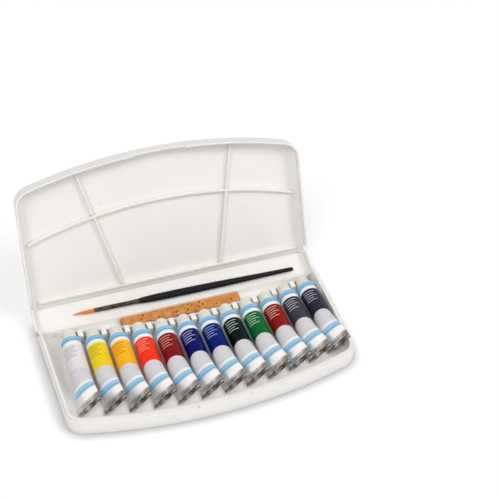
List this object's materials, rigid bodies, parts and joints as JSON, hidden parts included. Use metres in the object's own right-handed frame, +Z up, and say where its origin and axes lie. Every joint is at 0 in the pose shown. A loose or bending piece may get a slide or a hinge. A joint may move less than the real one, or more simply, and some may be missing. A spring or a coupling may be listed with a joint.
{
  "type": "watercolor paint box",
  "caption": "Open moulded paint box with a palette lid on a folding hinge strip, a fanned row of crimped paint tubes with screw caps, a round brush and a sponge.",
  "frame": {"origin": "centre of the tray's underside, in the plane of the table", "axes": "+X to the right along the row of tubes, +Y towards the hinge strip and lid, +Z up"},
  "size_m": [0.259, 0.1876, 0.1393],
  "materials": {
    "case_plastic": "satin",
    "cap_plastic": "satin",
    "tube_white": "gloss enamel",
    "tube_lemon_yellow": "gloss enamel",
    "tube_golden_yellow": "gloss enamel",
    "tube_vermilion": "gloss enamel",
    "tube_crimson": "gloss enamel",
    "tube_ultramarine": "gloss enamel",
    "tube_cerulean": "gloss enamel",
    "tube_viridian": "gloss enamel",
    "tube_sap_green": "gloss enamel",
    "tube_burnt_sienna": "gloss enamel",
    "tube_dark_grey": "gloss enamel",
    "tube_indigo_black": "gloss enamel",
    "black_lacquer": "gloss",
    "ferrule_metal": "satin",
    "brush_hair": "matte",
    "sponge_cellulose": "matte"
  },
  "bodies": {
    "tray": {"tray_shell": "case_plastic"},
    "spine": {"hinge_spine": "case_plastic"},
    "lid": {"lid_palette": "case_plastic"},
    "tube_01": {"tube_body_01": "tube_white"},
    "cap_01": {"tube_cap_01": "cap_plastic"},
    "tube_02": {"tube_body_02": "tube_lemon_yellow"},
    "cap_02": {"tube_cap_02": "cap_plastic"},
    "tube_03": {"tube_body_03": "tube_golden_yellow"},
    "cap_03": {"tube_cap_03": "cap_plastic"},
    "tube_04": {"tube_body_04": "tube_vermilion"},
    "cap_04": {"tube_cap_04": "cap_plastic"},
    "tube_05": {"tube_body_05": "tube_crimson"},
    "cap_05": {"tube_cap_05": "cap_plastic"},
    "tube_06": {"tube_body_06": "tube_ultramarine"},
    "cap_06": {"tube_cap_06": "cap_plastic"},
    "tube_07": {"tube_body_07": "tube_cerulean"},
    "cap_07": {"tube_cap_07": "cap_plastic"},
    "tube_08": {"tube_body_08": "tube_viridian"},
    "cap_08": {"tube_cap_08": "cap_plastic"},
    "tube_09": {"tube_body_09": "tube_sap_green"},
    "cap_09": {"tube_cap_09": "cap_plastic"},
    "tube_10": {"tube_body_10": "tube_burnt_sienna"},
    "cap_10": {"tube_cap_10": "cap_plastic"},
    "tube_11": {"tube_body_11": "tube_dark_grey"},
    "cap_11": {"tube_cap_11": "cap_plastic"},
    "tube_12": {"tube_body_12": "tube_indigo_black"},
    "cap_12": {"tube_cap_12": "cap_plastic"},
    "brush": {"brush_handle": "black_lacquer", "brush_ferrule": "ferrule_metal", "brush_bristles": "brush_hair"},
    "sponge": {"sponge": "sponge_cellulose"}
  },
  "joints": [
    {"name": "spine_fold", "type": "hinge", "parent": "tray", "child": "spine", "pos_m": [0, 0.065, 0.0005], "axis": [-1, 0, 0], "range_deg": [-66, 24]},
    {"name": "lid_fold", "type": "hinge", "parent": "spine", "child": "lid", "pos_m": [0, 0.08875, 0.01107], "axis": [-1, 0, 0], "range_deg": [-39, 51]},
    {"name": "tube_01_lift", "type": "slide", "parent": "tray", "child": "tube_01", "axis": [0, 0, 1], "range_m": [0, 0.06]},
    {"name": "cap_01_turn", "type": "hinge", "parent": "tube_01", "child": "cap_01", "pos_m": [-0.10331, 0.04364, 0.01035], "axis": [0, 1, 0], "continuous": true},
    {"name": "tube_02_lift", "type": "slide", "parent": "tray", "child": "tube_02", "axis": [0, 0, 1], "range_m": [0, 0.06]},
    {"name": "cap_02_turn", "type": "hinge", "parent": "tube_02", "child": "cap_02", "pos_m": [-0.08371, 0.03901, 0.01035], "axis": [0, 1, 0], "continuous": true},
    {"name": "tube_03_lift", "type": "slide", "parent": "tray", "child": "tube_03", "axis": [0, 0, 1], "range_m": [0, 0.06]},
    {"name": "cap_03_turn", "type": "hinge", "parent": "tube_03", "child": "cap_03", "pos_m": [-0.06411, 0.03535, 0.01035], "axis": [0, 1, 0], "continuous": true},
    {"name": "tube_04_lift", "type": "slide", "parent": "tray", "child": "tube_04", "axis": [0, 0, 1], "range_m": [0, 0.06]},
    {"name": "cap_04_turn", "type": "hinge", "parent": "tube_04", "child": "cap_04", "pos_m": [-0.0445, 0.03262, 0.01035], "axis": [0, 1, 0], "continuous": true},
    {"name": "tube_05_lift", "type": "slide", "parent": "tray", "child": "tube_05", "axis": [0, 0, 1], "range_m": [0, 0.06]},
    {"name": "cap_05_turn", "type": "hinge", "parent": "tube_05", "child": "cap_05", "pos_m": [-0.0249, 0.03082, 0.01035], "axis": [0, 1, 0], "continuous": true},
    {"name": "tube_06_lift", "type": "slide", "parent": "tray", "child": "tube_06", "axis": [0, 0, 1], "range_m": [0, 0.06]},
    {"name": "cap_06_turn", "type": "hinge", "parent": "tube_06", "child": "cap_06", "pos_m": [-0.0053, 0.02992, 0.01035], "axis": [0, 1, 0], "continuous": true},
    {"name": "tube_07_lift", "type": "slide", "parent": "tray", "child": "tube_07", "axis": [0, 0, 1], "range_m": [0, 0.06]},
    {"name": "cap_07_turn", "type": "hinge", "parent": "tube_07", "child": "cap_07", "pos_m": [0.0143, 0.02992, 0.01035], "axis": [0, 1, 0], "continuous": true},
    {"name": "tube_08_lift", "type": "slide", "parent": "tray", "child": "tube_08", "axis": [0, 0, 1], "range_m": [0, 0.06]},
    {"name": "cap_08_turn", "type": "hinge", "parent": "tube_08", "child": "cap_08", "pos_m": [0.0339, 0.03082, 0.01035], "axis": [0, 1, 0], "continuous": true},
    {"name": "tube_09_lift", "type": "slide", "parent": "tray", "child": "tube_09", "axis": [0, 0, 1], "range_m": [0, 0.06]},
    {"name": "cap_09_turn", "type": "hinge", "parent": "tube_09", "child": "cap_09", "pos_m": [0.0535, 0.03262, 0.01035], "axis": [0, 1, 0], "continuous": true},
    {"name": "tube_10_lift", "type": "slide", "parent": "tray", "child": "tube_10", "axis": [0, 0, 1], "range_m": [0, 0.06]},
    {"name": "cap_10_turn", "type": "hinge", "parent": "tube_10", "child": "cap_10", "pos_m": [0.07311, 0.03535, 0.01035], "axis": [0, 1, 0], "continuous": true},
    {"name": "tube_11_lift", "type": "slide", "parent": "tray", "child": "tube_11", "axis": [0, 0, 1], "range_m": [0, 0.06]},
    {"name": "cap_11_turn", "type": "hinge", "parent": "tube_11", "child": "cap_11", "pos_m": [0.09271, 0.03901, 0.01035], "axis": [0, 1, 0], "continuous": true},
    {"name": "tube_12_lift", "type": "slide", "parent": "tray", "child": "tube_12", "axis": [0, 0, 1], "range_m": [0, 0.06]},
    {"name": "cap_12_turn", "type": "hinge", "parent": "tube_12", "child": "cap_12", "pos_m": [0.11231, 0.04364, 0.01035], "axis": [0, 1, 0], "continuous": true},
    {"name": "brush_lift", "type": "slide", "parent": "spine", "child": "brush", "axis": [0, -0.4067, 0.9135], "range_m": [0, 0.03]},
    {"name": "sponge_lift", "type": "slide", "parent": "tray", "child": "sponge", "axis": [0, 0, 1], "range_m": [0, 0.04]}
  ]
}
